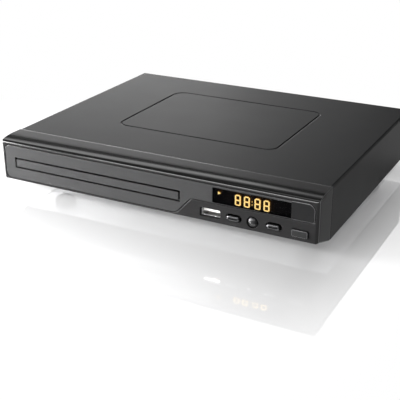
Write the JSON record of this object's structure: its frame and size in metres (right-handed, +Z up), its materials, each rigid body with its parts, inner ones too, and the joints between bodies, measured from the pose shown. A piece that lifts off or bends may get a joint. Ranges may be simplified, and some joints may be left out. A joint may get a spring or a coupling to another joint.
{
  "type": "disc player",
  "caption": "Slim tabletop disc player: motorised loading tray, gear train, tilting lifter with spindle and pickup, display, front socket and push buttons.",
  "frame": {"origin": "bottom centre of the whole object, on the surface that it stands on", "axes": "+X to the right of someone facing the front, +Y to the back, +Z up; the front faces -Y"},
  "size_m": [0.23, 0.1958, 0.038],
  "materials": {
    "bezel_plastic": "polished dark charcoal moulding",
    "fascia_plastic": "satin charcoal",
    "window_lens": "smoked clear lens",
    "dark_plastic": "fine matt black",
    "display_segments": "amber lit segments",
    "circuit_board": "green solder mask",
    "switch_metal": "pressed steel",
    "plated_steel": "bright plating",
    "light_plastic": "off-white moulding",
    "painted_steel": "fine satin charcoal paint",
    "zinc_steel": "zinc-plated sheet",
    "rubber": "matt rubber",
    "black_screws": "black oxide",
    "zinc_screws": "yellow zinc",
    "coloured_plastic": "coloured sockets",
    "brass_pins": "plated brass",
    "paper_board": "tan paper board",
    "copper_winding": "taped winding",
    "capacitor_sleeve": "shrink sleeve",
    "bare_aluminium": "bare sheet",
    "ribbon_film": "white film",
    "gear_plastic": "natural acetal",
    "tray_plastic": "satin black",
    "polished_rod": "ground steel",
    "cast_metal": "die-cast frame",
    "lens_glass": "coated lens",
    "button_gloss": "glossy charcoal",
    "button_satin": "satin charcoal"
  },
  "bodies": {
    "chassis": {"front_bezel": "bezel_plastic", "fascia_plate": "fascia_plastic", "display_window": "window_lens", "display_module": "dark_plastic", "display_digits": "display_segments", "front_board": "circuit_board", "tact_switches": "switch_metal", "usb_socket": "plated_steel", "usb_tongue": "light_plastic", "ir_receiver": "dark_plastic", "top_cover": "painted_steel", "chassis_base": "zinc_steel", "rear_panel": "zinc_steel", "rubber_feet": "rubber", "cover_screws": "black_screws", "board_screws": "zinc_screws", "loader_screws": "zinc_screws", "main_board": "circuit_board", "board_components": "dark_plastic", "hdmi_socket": "plated_steel", "av_jack_body": "dark_plastic", "av_jack_barrels": "plated_steel", "av_jack_inserts": "coloured_plastic", "mains_inlet": "dark_plastic", "mains_pins": "brass_pins", "power_board": "paper_board", "transformer": "copper_winding", "capacitors": "capacitor_sleeve", "heatsink": "bare_aluminium", "front_ribbon": "ribbon_film", "loader_frame": "dark_plastic", "clamp_bridge": "zinc_steel", "loading_motor": "plated_steel", "drive_belt": "rubber"},
    "tray": {"tray": "tray_plastic", "tray_door": "fascia_plastic"},
    "drive_gear": {"drive_gear": "gear_plastic"},
    "middle_gear": {"middle_gear": "gear_plastic"},
    "pulley_gear": {"pulley_gear": "gear_plastic"},
    "motor_pulley": {"motor_pulley": "gear_plastic"},
    "lifter": {"lifter_frame": "dark_plastic", "rubber_dampers": "rubber", "mech_chassis": "zinc_steel", "spindle_motor": "plated_steel", "guide_rods": "polished_rod", "sled_motor": "plated_steel"},
    "cam_slider": {"cam_slider": "gear_plastic"},
    "spindle": {"spindle_rotor": "plated_steel", "turntable": "dark_plastic"},
    "pickup": {"pickup_sled": "cast_metal"},
    "sled_screw": {"sled_screw": "polished_rod"},
    "lens": {"lens_holder": "dark_plastic", "objective_lens": "lens_glass"},
    "clamper": {"clamper": "light_plastic"},
    "eject_button": {"eject_button": "button_gloss"},
    "play_button": {"play_button": "button_gloss"},
    "stop_button": {"stop_button": "button_gloss"},
    "power_button": {"power_button": "button_satin"}
  },
  "joints": [
    {"name": "tray_slide", "type": "slide", "parent": "chassis", "child": "tray", "axis": [0, -1, 0], "range_m": [0, 0.125]},
    {"name": "drive_gear_turn", "type": "hinge", "parent": "chassis", "child": "drive_gear", "pos_m": [0.01225, -0.0788, 0.0155], "axis": [0, 0, 1], "range_deg": [0, 1279.9]},
    {"name": "middle_gear_turn", "type": "hinge", "parent": "chassis", "child": "middle_gear", "pos_m": [-0.00089, -0.07528, 0.0135], "axis": [0, 0, 1], "range_deg": [-2345.7, 0]},
    {"name": "pulley_gear_turn", "type": "hinge", "parent": "chassis", "child": "pulley_gear", "pos_m": [-0.01586, -0.07792, 0.0135], "axis": [0, 0, 1], "range_deg": [0, 5081.2]},
    {"name": "motor_pulley_turn", "type": "hinge", "parent": "chassis", "child": "motor_pulley", "pos_m": [-0.05186, -0.067, 0.0145], "axis": [0, 0, 1], "range_deg": [0, 12842.5]},
    {"name": "lifter_tilt", "type": "hinge", "parent": "chassis", "child": "lifter", "pos_m": [-0.04015, 0.0462, 0.0115], "axis": [-1, 0, 0], "range_deg": [0, 3.75]},
    {"name": "cam_slide", "type": "slide", "parent": "chassis", "child": "cam_slider", "axis": [1, 0, 0], "range_m": [0, 0.01401]},
    {"name": "disc_spin", "type": "hinge", "parent": "lifter", "child": "spindle", "pos_m": [-0.04015, -0.03059, 0.01348], "axis": [0, -0.0654, 0.9979], "continuous": true},
    {"name": "pickup_slide", "type": "slide", "parent": "lifter", "child": "pickup", "axis": [0, 0.9979, 0.0654], "range_m": [0, 0.034]},
    {"name": "sled_screw_turn", "type": "hinge", "parent": "lifter", "child": "sled_screw", "pos_m": [-0.07515, -0.01034, 0.0102], "axis": [0, 0.9979, 0.0654], "range_deg": [0, 4081]},
    {"name": "lens_focus", "type": "slide", "parent": "pickup", "child": "lens", "axis": [0, -0.0654, 0.9979], "range_m": [-0.0004, 0.0004], "stiffness_N_per_m": 60},
    {"name": "clamper_spin", "type": "hinge", "parent": "chassis", "child": "clamper", "pos_m": [-0.04015, -0.0303, 0.0285], "axis": [0, 0, 1], "continuous": true},
    {"name": "eject_press", "type": "slide", "parent": "chassis", "child": "eject_button", "axis": [0, 1, 0], "range_m": [0, 0.0005], "stiffness_N_per_m": 2000},
    {"name": "play_press", "type": "slide", "parent": "chassis", "child": "play_button", "axis": [0, 1, 0], "range_m": [0, 0.0005], "stiffness_N_per_m": 2000},
    {"name": "stop_press", "type": "slide", "parent": "chassis", "child": "stop_button", "axis": [0, 1, 0], "range_m": [0, 0.0005], "stiffness_N_per_m": 2000},
    {"name": "power_press", "type": "slide", "parent": "chassis", "child": "power_button", "axis": [0, 1, 0], "range_m": [0, 0.0005], "stiffness_N_per_m": 2000}
  ],
  "couplings": [
    {"joint": "drive_gear_turn", "follows": "tray_slide", "rad_per_m": 178.57},
    {"joint": "middle_gear_turn", "follows": "tray_slide", "rad_per_m": -327.38},
    {"joint": "pulley_gear_turn", "follows": "tray_slide", "rad_per_m": 709.33},
    {"joint": "motor_pulley_turn", "follows": "tray_slide", "rad_per_m": 1793},
    {"joint": "cam_slide", "follows": "lifter_tilt", "m_per_rad": 0.2139},
    {"joint": "sled_screw_turn", "follows": "pickup_slide", "rad_per_m": 2094.4}
  ]
}
